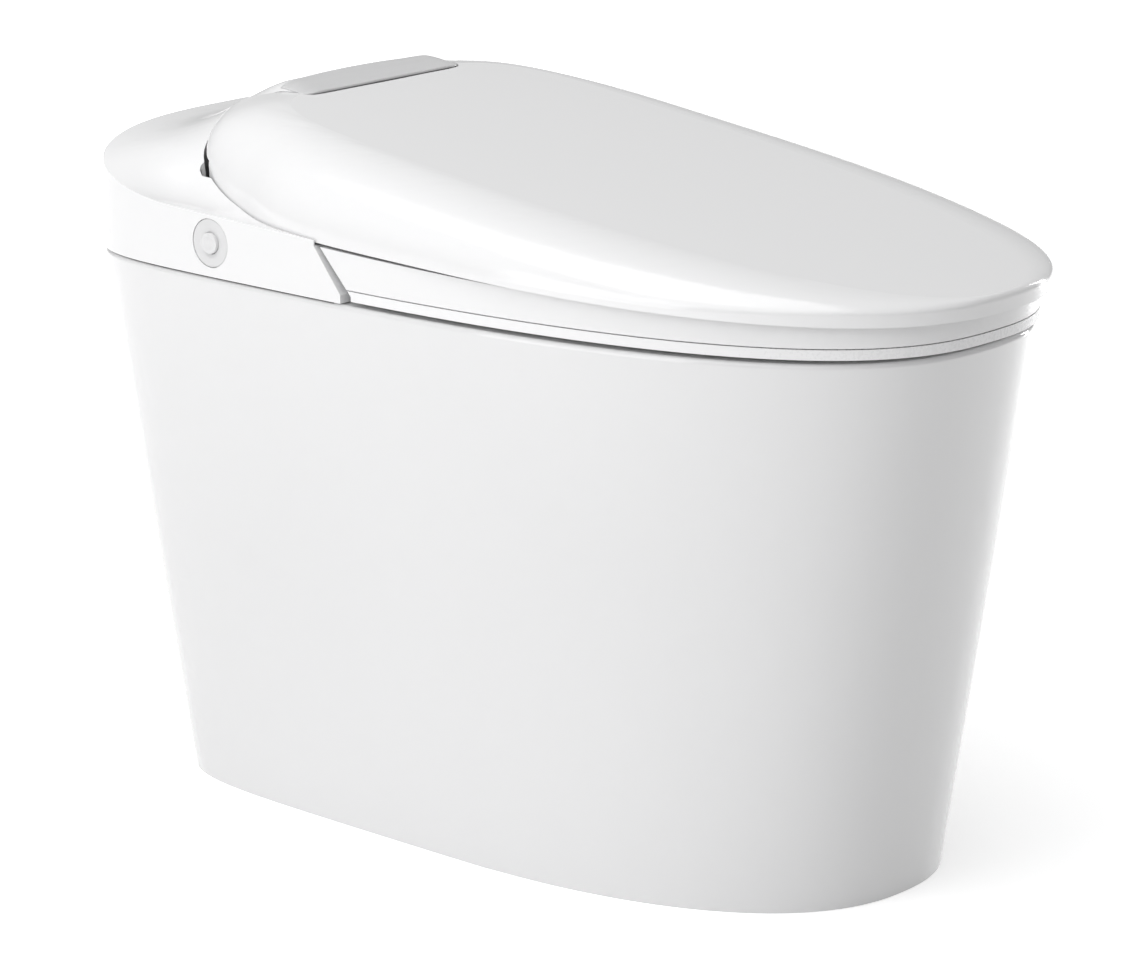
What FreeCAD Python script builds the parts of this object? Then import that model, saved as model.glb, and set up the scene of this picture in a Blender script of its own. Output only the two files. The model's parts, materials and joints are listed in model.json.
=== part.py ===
import FreeCAD, Part
import math
import os

V = FreeCAD.Vector
os.makedirs("parts", exist_ok=True)

# ---------------------------------------------------------------- sizes, mm
# Frame: origin at the centre of the drain outlet on the floor, +Z up, front towards -Y.

# ceramic pan, plan outlines: front, widest point, rear, half width, front and rear roundness
rim_height = 400.0
rim_front, rim_widest, rim_rear = -400.0, 81.5, 290.0
rim_half = 201.0
rim_round_front, rim_round_rear = 2.55, 5.5
foot_front, foot_widest, foot_rear = -340.0, -49.0, 245.0
foot_half = 159.0
foot_round_front, foot_round_rear = 2.3, 6.3
ceramic_wall = 12.0
deck_thick = 16.0
rim_edge_round = 3.0

# bowl and trapway
bowl_back, bowl_length, bowl_half = -42.0, 316.0, 130.0
bowl_wall = 13.0
sump_y, sump_z = -190.0, 105.0
trap_bore, trap_wall = 27.0, 10.0
trap_bend = 50.0
weir_z = 165.0
outlet_y = 0.0

# service bay behind the bowl
bay_front, bay_back, bay_half = 54.0, 235.0, 160.0
bay_floor, bay_wall = 302.0, 10.0

# hinge line of seat and lid
hinge_y, hinge_z = 116.0, 477.0
pin_r = 6.0
run_gap = 0.05
part_gap = 0.3

# seat
seat_front, seat_half = -403.5, 200.0
seat_gap = 3.6
seat_base_thick = 7.0
seat_joint_line = 0.8
seat_top_at_hinge_end, band_slope = 437.2, 0.033
seat_wall = 4.0
seat_hole_back, seat_hole_length, seat_hole_half = -56.0, 278.0, 106.0
back_face_top_y, back_face_low_y = 28.5, 0.0
back_gap = 5.0
arm_inner, arm_outer = 70.0, 90.0
barrel_r = 12.0

# lid
lid_front, lid_widest, lid_rear = -414.0, -60.0, 200.0
lid_half = 198.5
lid_round_front, lid_round_rear = 2.3, 4.3
lid_gap = 2.2
lid_wall = 3.2
lid_skirt_front, lid_skirt_side = 8.2, 4.0
shoulder_front, shoulder_side, shoulder_rear, crown_round_rear = 3.5, 66.0, 40.0, 5.0
seam_gap = 1.2
notch_gap = 1.1
spine_front_z, spine_back_z = 438.5, 511.5
panel_front_y = 150.0

# seam between lid and housing on one side: x, y and height, from the side round to the panel
seam = [(198.0, 31.0, 440.0), (190.0, 87.0, 443.0), (180.0, 116.0, 446.0), (172.0, 141.0, 451.0),
        (165.0, 160.0, 458.0), (158.0, 175.0, 465.5), (151.0, 185.0, 471.0), (143.0, 192.0, 477.0),
        (134.0, 197.0, 482.0), (126.0, 200.0, 487.0), (116.0, 200.0, 494.0), (106.0, 194.0, 499.0),
        (97.0, 185.0, 503.0), (90.0, 175.0, 508.0), (82.0, 152.0, 511.0)]
seam_corner = 10

# rear housing
cover_wall = 3.2
base_gap = 1.0
base_thick = 4.0
housing_rear_z, rear_corner_drop = 482.5, 28.0
drop_start_y, drop_end_y = 172.0, 268.0
panel_half, panel_depth, panel_corner = 81.5, 28.0, 9.0
panel_rise, panel_arch = 0.17, 2.8

# side dial
dial_y, dial_z, dial_r = 130.6, 425.3, 17.4
button_r = 7.6
button_travel = 2.5


# ---------------------------------------------------------------- helpers
def superellipse(front, widest, rear, half, n_front, n_rear, inset=0.0, count=48):
    points = []
    for i in range(count):
        t = 2 * math.pi * i / count
        c, s = math.cos(t), math.sin(t)
        n = n_rear if s > 0 else n_front
        reach = (rear - widest if s > 0 else widest - front) - inset
        x = math.copysign(abs(c) ** (2 / n), c) * (half - inset)
        y = widest + math.copysign(abs(s) ** (2 / n), s) * reach
        points.append((x, y))
    return points


def steps_along(outline):
    """Distance along a closed outline at each of its points, for curves that must match up."""
    steps = [0.0]
    for a, b in zip(outline, outline[1:] + outline[:1]):
        steps.append(steps[-1] + math.hypot(b[0] - a[0], b[1] - a[1]))
    return steps


def closed_curve(points, steps=None):
    curve = Part.BSplineCurve()
    if steps:
        curve.interpolate(Points=[V(*p) for p in points], PeriodicFlag=True, Parameters=steps)
    else:
        curve.interpolate(Points=[V(*p) for p in points], PeriodicFlag=True)
    return Part.Wire([curve.toShape()])


def ring(outline, height, steps=None):
    if not callable(height):
        level = height
        height = lambda x, y: level
    return closed_curve([(x, y, height(x, y)) for x, y in outline], steps)


def loft(rings, ruled=False):
    return Part.makeLoft(rings, True, ruled)


def prism(outline, low, high):
    return Part.Face(ring(outline, low)).extrude(V(0, 0, high - low))


def ellipse_outline(y_mid, half_x, half_y, count=32):
    return [(half_x * math.cos(2 * math.pi * i / count), y_mid + half_y * math.sin(2 * math.pi * i / count))
            for i in range(count)]


def box(x0, x1, y0, y1, z0, z1):
    return Part.makeBox(x1 - x0, y1 - y0, z1 - z0, V(x0, y0, z0))


def cylinder(r, start, direction, length):
    return Part.makeCylinder(r, length, V(*start), V(*direction))


def tube(r_out, r_in, start, direction, length):
    return cylinder(r_out, start, direction, length).cut(cylinder(r_in, start, direction, length))


def side_profile(points, x0, x1):
    """Solid with a straight-edged outline of (y, z) points, from x0 to x1."""
    corners = [V(x0, y, z) for y, z in points]
    return Part.Face(Part.makePolygon(corners + corners[:1])).extrude(V(x1 - x0, 0, 0))


def surface_solid(height, x_half, y_low, y_high, floor, nx=25, ny=25):
    """Solid under the smooth surface height(x, y)."""
    grid = [[V(x_half * (2 * i / (nx - 1) - 1), y_low + (y_high - y_low) * j / (ny - 1), 0)
             for j in range(ny)] for i in range(nx)]
    grid = [[V(p.x, p.y, height(p.x, p.y)) for p in row] for row in grid]
    surface = Part.BSplineSurface()
    surface.interpolate(grid)
    top = surface.toShape()
    return top.extrude(V(0, 0, floor - 600.0)).common(
        box(-x_half, x_half, y_low, y_high, floor, 600.0))


def mirrored(shape):
    return shape.mirror(V(0, 0, 0), V(1, 0, 0))


def both_sides(shape):
    return [shape, mirrored(shape)]


def about_hinge(points, x_from, x_to):
    """Solid of revolution about the hinge line, from (x, radius) points."""
    corners = [V(x, hinge_y, hinge_z + r) for x, r in points]
    corners = [V(x_from, hinge_y, hinge_z)] + corners + [V(x_to, hinge_y, hinge_z)]
    face = Part.Face(Part.makePolygon(corners + corners[:1]))
    return face.revolve(V(0, hinge_y, hinge_z), V(1, 0, 0), 360)


nodes = {}


def keep(name, *solids):
    shapes = []
    for s in solids:
        shapes += s if isinstance(s, list) else [s]
    nodes[name] = shapes[0] if len(shapes) == 1 else Part.makeCompound(shapes)


def rim(inset=0.0):
    return superellipse(rim_front, rim_widest, rim_rear, rim_half, rim_round_front, rim_round_rear, inset)


def foot(inset=0.0):
    return superellipse(foot_front, foot_widest, foot_rear, foot_half, foot_round_front, foot_round_rear,
                        inset)


# ---------------------------------------------------------------- ceramic pan
side_steps = steps_along(rim())


def pan_side(foot_in, rim_in, low, high):
    """Straight-sided solid between the foot outline and the rim outline, each moved in."""
    return loft([ring(foot(foot_in), low, side_steps), ring(rim(rim_in), high, side_steps)], True)


outer = pan_side(0, 0, 0, rim_height)
hollow = pan_side(ceramic_wall, ceramic_wall + 1, -1, rim_height - deck_thick)
pan = outer.cut(hollow)

bowl_mid = bowl_back - bowl_length / 2
bowl_levels = [(rim_height + 1, 0, 0), (rim_height - 60, 8, 10), (rim_height - 150, 38, 42),
               (rim_height - 225, 68, 80), (sump_z + 12, 90, 108), (sump_z - trap_bore, 103, 131)]


def bowl_solid(grow, drop=0.0):
    rings = []
    for i, (z, in_x, in_y) in enumerate(bowl_levels):
        lower = drop if i == len(bowl_levels) - 1 else 0
        mid = bowl_mid + (sump_y - bowl_mid) * i / (len(bowl_levels) - 1)
        rings.append(ring(ellipse_outline(mid, bowl_half - in_x + grow, bowl_length / 2 - in_y + grow),
                          z - lower))
    return loft(rings)


def trap_path():
    up_y, bend = outlet_y - 2 * trap_bend, trap_bend
    mid = math.sqrt(0.5) * bend
    turn_in = Part.Arc(V(0, up_y - bend, sump_z), V(0, up_y - bend + mid, sump_z + bend - mid),
                       V(0, up_y, sump_z + bend))
    over = Part.Arc(V(0, up_y, weir_z), V(0, up_y + bend, weir_z + bend), V(0, outlet_y, weir_z))
    return Part.Wire([Part.makeLine(V(0, sump_y, sump_z), V(0, up_y - bend, sump_z)),
                      turn_in.toShape(),
                      Part.makeLine(V(0, up_y, sump_z + bend), V(0, up_y, weir_z)),
                      over.toShape(),
                      Part.makeLine(V(0, outlet_y, weir_z), V(0, outlet_y, 0))])


def sweep(path, r):
    start = path.Edges[0]
    circle = Part.Wire([Part.makeCircle(r, start.valueAt(start.FirstParameter),
                                        start.tangentAt(start.FirstParameter))])
    return path.makePipeShell([circle], True, True)


trap_outer = trap_bore + trap_wall
pan = pan.fuse(bowl_solid(bowl_wall, bowl_wall).common(box(-300, 300, -400, 60, 0, rim_height)))
pan = pan.fuse(sweep(trap_path(), trap_outer))
bay_walls = box(-bay_half - bay_wall, bay_half + bay_wall, bay_front - bay_wall, bay_back + bay_wall,
                bay_floor - bay_wall, rim_height - deck_thick + 1)
pan = pan.fuse(bay_walls.common(pan_side(4, 4, 0, rim_height)))
pan = pan.cut(bowl_solid(0))
pan = pan.cut(sweep(trap_path(), trap_bore))
pan = pan.cut(box(-bay_half, bay_half, bay_front, bay_back, bay_floor, rim_height + 1))

flush_pipe_x, flush_pipe_z, flush_pipe_r = 62.0, 350.0, 10.0
flush_start = bowl_mid + 105.0
for x in (-flush_pipe_x, flush_pipe_x):
    pan = pan.cut(cylinder(flush_pipe_r + part_gap, (x, flush_start, flush_pipe_z), (0, 1, 0),
                           bay_front + 1 - flush_start))
base_bolt_x, base_bolt_y, base_bolt_r, bush_r = 128.0, 22.0, 4.0, 7.0
for x in (-base_bolt_x, base_bolt_x):
    pan = pan.cut(cylinder(bush_r + part_gap, (x, base_bolt_y, rim_height - deck_thick - 1), (0, 0, 1),
                           deck_thick + 2))
rim_edges = [e for e in pan.Edges if abs(e.BoundBox.ZMin - rim_height) < 0.01 and e.BoundBox.ZLength < 0.01
             and e.BoundBox.XLength > bowl_half * 1.5 and e.Length > 800]
pan = pan.makeFillet(rim_edge_round, rim_edges)
keep("ceramic_pan", pan)

keep("drain_seal", tube(trap_outer + 16, trap_outer + part_gap, (0, outlet_y, 0), (0, 0, 1), 14))
keep("flush_pipes", both_sides(tube(flush_pipe_r, flush_pipe_r - 2, (flush_pipe_x, flush_start + 26,
                                    flush_pipe_z), (0, 1, 0), bay_front + 8 - flush_start - 26)))

# ---------------------------------------------------------------- outer surfaces of the housing
strip_rise = 4.0
strip_z = seat_top_at_hinge_end + strip_rise


def between(pairs, value):
    """Straight-line reading of a list of (place, reading) pairs in rising order of place."""
    if value <= pairs[0][0]:
        return pairs[0][1]
    for (a, ra), (b, rb) in zip(pairs, pairs[1:]):
        if value <= b:
            return ra + (rb - ra) * (value - a) / (b - a)
    return pairs[-1][1]


def side_strip(y):
    return strip_z + band_slope * y


seam_share = [(x, (spine_back_z - z) / (spine_back_z - side_strip(y))) for x, y, z in seam[:1:-1]]
seam_share = [(70.0, 0.0)] + seam_share + [(190.0, 1.0)]
seam_heights = [(x, z) for x, y, z in seam[::-1]]


def smooth(t):
    t = min(1.0, max(0.0, t))
    return t * t * (3 - 2 * t)


def housing_top(x, y):
    share = sum(between(seam_share, abs(x) + step) for step in (-6, -3, 0, 3, 6)) / 5
    along = min(panel_depth, max(0.0, y - panel_front_y))
    behind = panel_rise * along * smooth((110 - abs(x)) / 40)
    behind += panel_arch * along / panel_depth * max(0.0, 1 - (x / panel_half) ** 2)
    front = spine_back_z + 0.5 - (spine_back_z - side_strip(y)) * share + behind
    rear = housing_rear_z - rear_corner_drop * (abs(x) / rim_half) ** 4
    return front + (rear - front) * smooth((y - drop_start_y) / (drop_end_y - drop_start_y))


def seat_top_plane(x, y):
    return seat_top_at_hinge_end + band_slope * y


def deck_plane(x, y):
    return seat_top_plane(x, y)


def lid_outline(inset=0.0):
    """Plan of the lid: a superellipse in front, and the seam's line round the back."""
    back = [(lid_half, lid_widest)] + [(x, y) for x, y, z in seam[:seam_corner]]
    back += [(60.0, lid_rear + 1), (0.0, lid_rear + 1)]
    polar = sorted((math.atan2(y - lid_widest, x), math.hypot(x, y - lid_widest)) for x, y in back)
    points = []
    for x, y in superellipse(lid_front, lid_widest, lid_rear, lid_half, lid_round_front, lid_round_rear, inset):
        if y > lid_widest:
            angle = math.atan2(y - lid_widest, abs(x))
            reach = sum(between(polar, angle + step) for step in (-0.02, 0, 0.02)) / 3 - inset
            x, y = math.copysign(reach * math.cos(angle), x), lid_widest + reach * math.sin(angle)
        points.append((x, y))
    return points


panel_back_y = panel_front_y + panel_depth


def notch_line(inset=0.0):
    """One half of the notch in the back of the lid: across the front, round the corner and out."""
    side, front_y = panel_half + notch_gap - inset, panel_front_y - notch_gap + inset
    turn_x, turn_y, turn_r = panel_half - panel_corner, panel_front_y + panel_corner, side - panel_half + panel_corner
    corner = [(turn_x + turn_r * math.sin(t * math.pi / 8), turn_y - turn_r * math.cos(t * math.pi / 8))
              for t in range(5)]
    return [(0, front_y - 0.8), (turn_x - 25, front_y - 0.5)] + corner + [
        (side + 4, panel_front_y + 24), (side + 15, lid_rear - 13), (side + 32, lid_rear + 3),
        (side + 46, lid_rear + 30)]


def notch_solid(inset=0.0, low=380.0, high=580.0):
    """The fixed tongue that carries the panel and cuts into the back of the lid."""
    half = notch_line(inset)
    points = [V(-x, y, low) for x, y in reversed(half[1:])] + [V(x, y, low) for x, y in half]
    curve = Part.BSplineCurve()
    curve.interpolate(points)
    face = Part.Face(Part.Wire([curve.toShape(), Part.makeLine(points[-1], points[0])]))
    return face.extrude(V(0, 0, high - low))


# ---------------------------------------------------------------- lid
def lid_low(x, y):
    return seat_top_plane(x, y) + lid_gap


def lid_edge(x, y):
    """Height where the lid's upright edge turns into its shoulder."""
    low = lid_low(x, y) + lid_skirt_side + (lid_skirt_front - lid_skirt_side) * smooth((-250 - y) / 130)
    return max(low, between(seam_heights, abs(x)) + 1.5) if y > 0 else low


def crown(x, y):
    t = (y - lid_front) / (panel_front_y - lid_front)
    return spine_front_z + (spine_back_z - spine_front_z) * t


def lid_solid(inset=0.0, drop=0.0, reach=0.0):
    """Skirt, rounded shoulder and crown; inset, drop and reach give the inside."""
    bottom = ring(lid_outline(inset), lambda x, y: lid_low(x, y) - reach)
    edge = lid_outline(inset)
    inner = superellipse(lid_front + shoulder_front + inset, lid_widest, lid_rear - shoulder_rear - inset,
                         lid_half - shoulder_side - inset, lid_round_front, crown_round_rear)
    rings = []
    for share in (0.0, 0.2, 0.4, 0.6, 0.8, 1.0):
        angle = math.pi / 2 * share
        pull = 1 - math.cos(angle)
        points = []
        for (x, y), (xi, yi) in zip(edge, inner):
            high = crown(xi, yi) - drop
            low = min(lid_edge(x, y) - drop, high - 3)
            points.append((x + (xi - x) * pull, y + (yi - y) * pull, low + (high - low) * math.sin(angle)))
        rings.append(closed_curve(points))
    skirt = Part.makeLoft([bottom, rings[0]], False, True)
    shoulder = Part.makeLoft(rings, False, False)
    faces = skirt.Faces + shoulder.Faces + [Part.Face(bottom), Part.Face(rings[-1])]
    shell = Part.makeCompound(faces)
    shell.sewShape(0.01)
    return Part.Solid(shell.Shells[0] if shell.Shells else shell)


lid_outer = lid_solid()
lid_inner = lid_solid(lid_wall, lid_wall, lid_wall + 20)
rear_cut_y, rear_cut_slope = 64.0, 0.27


def under_plane(z_at, y_from, y_to, low=300.0, half=260.0):
    """Everything under the straight slope z_at(y) between two y."""
    return side_profile([(y_from, low), (y_from, z_at(y_from)), (y_to, z_at(y_to)), (y_to, low)], -half, half)


def lid_back_edge(y):
    return seat_top_plane(0, rear_cut_y) + lid_gap + rear_cut_slope * (y - rear_cut_y)


back_trim = under_plane(lid_back_edge, rear_cut_y, 260).common(box(-157, 157, rear_cut_y, 260, 300, 600))
middle_trim = box(-panel_half, panel_half, hinge_y + 22, 260, 300, hinge_z + 13)
lid_shell = lid_outer.cut(notch_solid()).cut(lid_inner.cut(notch_solid(-lid_wall)))
lid_shell = lid_shell.cut(back_trim).cut(middle_trim)

lug_inner, lug_outer = 111.0, 127.0
lug = cylinder(barrel_r, (lug_inner, hinge_y, hinge_z), (1, 0, 0), lug_outer - lug_inner)
web = box(lug_inner, lug_outer, hinge_y - barrel_r, hinge_y + barrel_r, hinge_z,
          crown(0, hinge_y) - lid_wall + 1)
bore = cylinder(pin_r + run_gap, (lug_inner - 1, hinge_y, hinge_z), (1, 0, 0), lug_outer - lug_inner + 2)
for s in both_sides(lug.fuse(web)):
    lid_shell = lid_shell.fuse(s)
for s in both_sides(bore):
    lid_shell = lid_shell.cut(s)
keep("lid_shell", lid_shell)

# inner panel of the lid, over the seat
liner_thick, liner_back = 2.4, 58.0
liner_outline = lid_outline(lid_wall + part_gap)


def slab(outline, low_plane, thick, y_back):
    """A plate of even thickness that follows a sloping plane, cut off at y_back."""
    low = loft([ring(outline, lambda x, y: low_plane(x, y)),
                ring(outline, lambda x, y: low_plane(x, y) + thick)], True)
    return low.common(box(-300, 300, -500, y_back, 300, 600))


liner = slab(liner_outline, lambda x, y: lid_low(x, y) + 1.0, liner_thick, liner_back)
for s in both_sides(box(arm_inner - 3, arm_outer + 3, 36, liner_back + 1, 300, 600)):
    liner = liner.cut(s)
keep("lid_liner", liner)

bumper_r = 5.0
lid_bumper_at = [(150.0, -40.0), (112.0, -300.0)]
lid_bumpers = []
for x, y in lid_bumper_at:
    z = seat_top_plane(0, y) + part_gap + 0.2
    lid_bumpers += both_sides(cylinder(bumper_r, (x, y, z), (0, 0, 1), lid_low(x, y) + 1.0 - z - 0.25))
keep("lid_bumpers", lid_bumpers)

# ---------------------------------------------------------------- seat
seat_low = rim_height + seat_gap
seat_outline = superellipse(seat_front, rim_widest, rim_rear, seat_half, rim_round_front, rim_round_rear)
seat_inner_outline = superellipse(seat_front, rim_widest, rim_rear, seat_half, rim_round_front, rim_round_rear,
                                  seat_wall)
seat_mid = seat_hole_back - seat_hole_length / 2


def back_face(y_shift):
    """Region in front of the sloping back face of the seat, shifted back by y_shift."""
    top_y = back_face_top_y - back_gap + y_shift
    low_y = back_face_low_y - back_gap + y_shift
    return side_profile([(-500, 300), (low_y, 300), (low_y, rim_height + 7), (top_y, seat_top_plane(0, top_y)),
                         (top_y, 600), (-500, 600)], -300, 300)


def seat_hole(grow):
    rings = []
    for z, wide in ((seat_low - 5, 0), (seat_low + 10, 0), (seat_low + 22, 3), (seat_top_at_hinge_end + 4, 15)):
        rings.append(ring(ellipse_outline(seat_mid, seat_hole_half + wide + grow,
                                          seat_hole_length / 2 + wide + grow), z))
    return loft(rings)


seat_split = seat_low + seat_base_thick
seat_body = loft([ring(seat_outline, seat_split + seat_joint_line),
                  ring(seat_outline, seat_top_plane)], True).common(back_face(0)).cut(seat_hole(0))
seat_hollow = loft([ring(seat_inner_outline, seat_split),
                    ring(seat_inner_outline, lambda x, y: seat_top_plane(x, y) - seat_wall)], True)
seat_hollow = seat_hollow.common(back_face(-seat_wall - 2)).cut(seat_hole(seat_wall))
arm_top_y = back_face_top_y - back_gap


def hinge_arm():
    """Arm from the back of the seat up to the hinge line."""
    z_end = seat_top_plane(0, arm_top_y)
    bar = side_profile([(arm_top_y - 12, z_end - 16), (arm_top_y - 12, z_end), (arm_top_y + 14, z_end),
                        (hinge_y - 8, hinge_z + 8), (hinge_y + 8, hinge_z - 8), (arm_top_y + 22, z_end - 16)],
                       arm_inner, arm_outer)
    barrel = cylinder(barrel_r, (arm_inner, hinge_y, hinge_z), (1, 0, 0), arm_outer - arm_inner)
    return bar.fuse(barrel).cut(cylinder(pin_r + run_gap, (arm_inner - 1, hinge_y, hinge_z), (1, 0, 0),
                                         arm_outer - arm_inner + 2))


nozzle_room_half, nozzle_room_z = 66.0, 424.0
nozzle_room = box(-nozzle_room_half, nozzle_room_half, seat_hole_back - 12, 60, 300, nozzle_room_z)
seat_top = seat_body.cut(seat_hollow)
roof = box(-nozzle_room_half - 3, nozzle_room_half + 3, seat_hole_back - 14, 60, 300, nozzle_room_z + 4)
seat_top = seat_top.fuse(roof.common(seat_body)).cut(nozzle_room)
for s in both_sides(hinge_arm()):
    seat_top = seat_top.fuse(s)

seat_base = prism(seat_outline, seat_low, seat_split).common(back_face(0)).cut(seat_hole(0)).cut(nozzle_room)
bumper_low = rim_height + 0.1
seat_bumper_at = [(160.0, -60.0), (118.0, -290.0)]
for x, y in seat_bumper_at:
    for s in both_sides(cylinder(bumper_r + part_gap, (x, y, seat_low - 1), (0, 0, 1), 4)):
        seat_base = seat_base.cut(s)
seat_screw_at = [(168.0, -20.0), (150.0, -150.0), (60.0, -366.0)]
screw_r, head_r = 2.0, 3.8
for x, y in seat_screw_at:
    for s in both_sides(cylinder(screw_r + 0.4, (x, y, seat_low - 1), (0, 0, 1), 20)):
        seat_base = seat_base.cut(s)
    for s in both_sides(cylinder(head_r + 0.3, (x, y, seat_low - 1), (0, 0, 1), 4)):
        seat_base = seat_base.cut(s)
keep("seat_base", seat_base)
seat_bumpers, seat_screws, screw_bosses = [], [], []
for x, y in seat_bumper_at:
    seat_bumpers += both_sides(cylinder(bumper_r, (x, y, bumper_low), (0, 0, 1), seat_low + 2.9 - bumper_low))
for x, y in seat_screw_at:
    screw = cylinder(head_r, (x, y, seat_low + 0.5), (0, 0, 1), 2.4)
    screw = screw.fuse(cylinder(screw_r, (x, y, seat_low + 2), (0, 0, 1), 16))
    seat_screws += both_sides(screw)
    boss = cylinder(screw_r + 2.5, (x, y, seat_split + seat_joint_line), (0, 0, 1), 40)
    boss = boss.cut(cylinder(screw_r + 0.05, (x, y, seat_split), (0, 0, 1), 13))
    screw_bosses += both_sides(boss.common(seat_body))
for s in screw_bosses:
    seat_top = seat_top.fuse(s)
for x, y in seat_screw_at:
    for s in both_sides(cylinder(screw_r + 0.05, (x, y, seat_split), (0, 0, 1), 13)):
        seat_top = seat_top.cut(s)
keep("seat_top", seat_top)
keep("seat_bumpers", seat_bumpers)
keep("seat_screws", seat_screws)

heater_thick = 0.8
heater_outline = superellipse(seat_front, rim_widest, rim_rear, seat_half, rim_round_front, rim_round_rear,
                              seat_wall + 9)
heater = loft([ring(heater_outline, lambda x, y: seat_top_plane(x, y) - seat_wall - heater_thick - 0.1),
               ring(heater_outline, lambda x, y: seat_top_plane(x, y) - seat_wall - 0.1)], True)
heater = heater.common(back_face(-14)).cut(seat_hole(seat_wall + 8))
heater = heater.cut(box(-nozzle_room_half - 6, nozzle_room_half + 6, seat_hole_back - 40, 60, 300, 600))
for x, y in seat_screw_at:
    for s in both_sides(cylinder(screw_r + 3.5, (x, y, 300), (0, 0, 1), 200)):
        heater = heater.cut(s)
keep("seat_heater", heater)

# ---------------------------------------------------------------- rear housing
cover_low = rim_height + base_gap
opening_front = 74.0


def housing_front(y_shift):
    """Region behind the sloping front face of the housing, moved back by y_shift."""
    top_y, low_y = back_face_top_y + y_shift, back_face_low_y + 4 + y_shift
    return side_profile([(320, 300), (low_y, 300), (low_y, rim_height + 7), (top_y, deck_plane(0, top_y)),
                         (top_y, 600), (320, 600)], -300, 300)


def housing_body(inset):
    top = surface_solid(lambda x, y: housing_top(x, y) - inset, rim_half + 20, -30, rim_rear + 20, 380)
    body = prism(rim(inset), cover_low - (1 if inset else 0), 580).common(top).common(housing_front(inset))
    well = prism(lid_outline(-seam_gap - inset), 380, 580).cut(notch_solid(seam_gap + inset))
    deck = under_plane(lambda y: deck_plane(0, y) - inset, -60, 330, 300, 320)
    return body.cut(well.cut(deck))


housing = housing_body(0).cut(housing_body(cover_wall))
opening_top = deck_plane(0, lid_rear) + 12
opening = prism(lid_outline(-seam_gap), 300, opening_top)
opening = opening.common(box(-rim_half, rim_half, opening_front, lid_rear + 4, 300, opening_top))
housing = housing.cut(opening.cut(notch_solid(0)))

# room for the back edge of the lid to swing down behind the seam
swing_gap = 1.6


def lid_back_radius(x):
    """Distance from the hinge line to the farthest point behind it in a slice of the lid at x."""
    back = lid_shell.common(box(x - 1.5, x + 1.5, hinge_y, 260, 400, 600))
    points = back.tessellate(0.3)[0] if back.Solids else []
    return max([math.hypot(p.y - hinge_y, p.z - hinge_z) for p in points] + [barrel_r])


sweep_x = [panel_half - panel_corner + 3 * k for k in range(31)]
sweep_line = [(x, lid_back_radius(x) + swing_gap) for x in sweep_x]
swing_room = about_hinge(sweep_line, sweep_line[0][0], sweep_line[-1][0])
centre_r = math.hypot(panel_front_y - notch_gap - hinge_y, spine_back_z - hinge_z) + 0.9
centre_room = cylinder(centre_r, (-panel_half, hinge_y, hinge_z), (1, 0, 0), 2 * panel_half)
housing = housing.cut(swing_room).cut(mirrored(swing_room)).cut(centre_room)
corner_line = [(x, math.hypot(y - hinge_y, spine_back_z - hinge_z) + 0.9) for x, y in notch_line()[2:7]]
corner_room = about_hinge(corner_line, corner_line[0][0], corner_line[-1][0])

# slots for the seat's arms
slot_gap = 2.5
for s in both_sides(box(arm_inner - slot_gap, arm_outer + slot_gap, -30, opening_front + 2,
                        seat_top_plane(0, arm_top_y) - 20, 520)):
    housing = housing.cut(s)

# mouth for the nozzles
mouth_half, mouth_top = 64.0, rim_height + 25.0
housing = housing.cut(box(-mouth_half, mouth_half, -30, 40, 380, mouth_top))

# accent panel, let into the tongue
panel_proud, panel_sunk = 0.8, 2.2


def panel_outline(grow):
    side, front, back, corner = panel_half + grow, panel_front_y - grow, panel_back_y + grow, panel_corner
    mid = math.sqrt(0.5) * corner
    edges = []
    for sign in (1, -1):
        edges.append(Part.Arc(V(sign * side, front + corner, 400),
                              V(sign * (side - corner + mid), front + corner - mid, 400),
                              V(sign * (side - corner), front, 400)).toShape())
        edges.append(Part.makeLine(V(sign * side, front + corner, 400), V(sign * side, back, 400)))
    edges.append(Part.makeLine(V(-side, back, 400), V(side, back, 400)))
    edges.append(Part.makeLine(V(corner - side, front, 400), V(side - corner, front, 400)))
    return Part.Face(Part.Wire(Part.__sortEdges__(edges))).extrude(V(0, 0, 150))


def under_top(shift):
    return surface_solid(lambda x, y: housing_top(x, y) + shift, rim_half + 20, -30, rim_rear + 20, 380)


panel = panel_outline(0).common(under_top(panel_proud)).cut(under_top(-panel_sunk)).cut(centre_room)
panel = panel.cut(corner_room).cut(mirrored(corner_room))
keep("accent_panel", panel)
housing = housing.cut(panel_outline(part_gap).cut(under_top(-panel_sunk - 0.1)))

# dial hole, water inlet and mains inlet holes
housing = housing.cut(cylinder(dial_r + part_gap, (-rim_half - 10, dial_y, dial_z), (1, 0, 0), 20))
inlet_x, inlet_z, inlet_r = 62.0, 432.0, 10.48
gland_r, cable_r = 8.0, 4.2
housing = housing.cut(cylinder(inlet_r + 1, (inlet_x, rim_rear - 20, inlet_z), (0, 1, 0), 40))
housing = housing.cut(cylinder(gland_r + 0.5, (-inlet_x, rim_rear - 20, inlet_z), (0, 1, 0), 40))

base_top = cover_low + base_thick
cover_screw_at = [(153.0, 256.0), (188.0, 58.0)]
cover_screws = []
skin = housing_body(0)
for x, y in cover_screw_at:
    boss = cylinder(5.0, (x, y, base_top + 0.2), (0, 0, 1), 120)
    hole = cylinder(screw_r + 0.05, (x, y, base_top - 2), (0, 0, 1), 16)
    screw = cylinder(head_r, (x, y, cover_low + 0.2), (0, 0, 1), 1.8)
    screw = screw.fuse(cylinder(screw_r, (x, y, cover_low + 1), (0, 0, 1), 15))
    for b, h in zip(both_sides(boss), both_sides(hole)):
        housing = housing.fuse(b.common(skin)).cut(h)
    cover_screws += both_sides(screw)
housing = max(housing.Solids, key=lambda solid: solid.Volume)
keep("rear_housing", housing)
keep("cover_screws", cover_screws)

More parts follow.
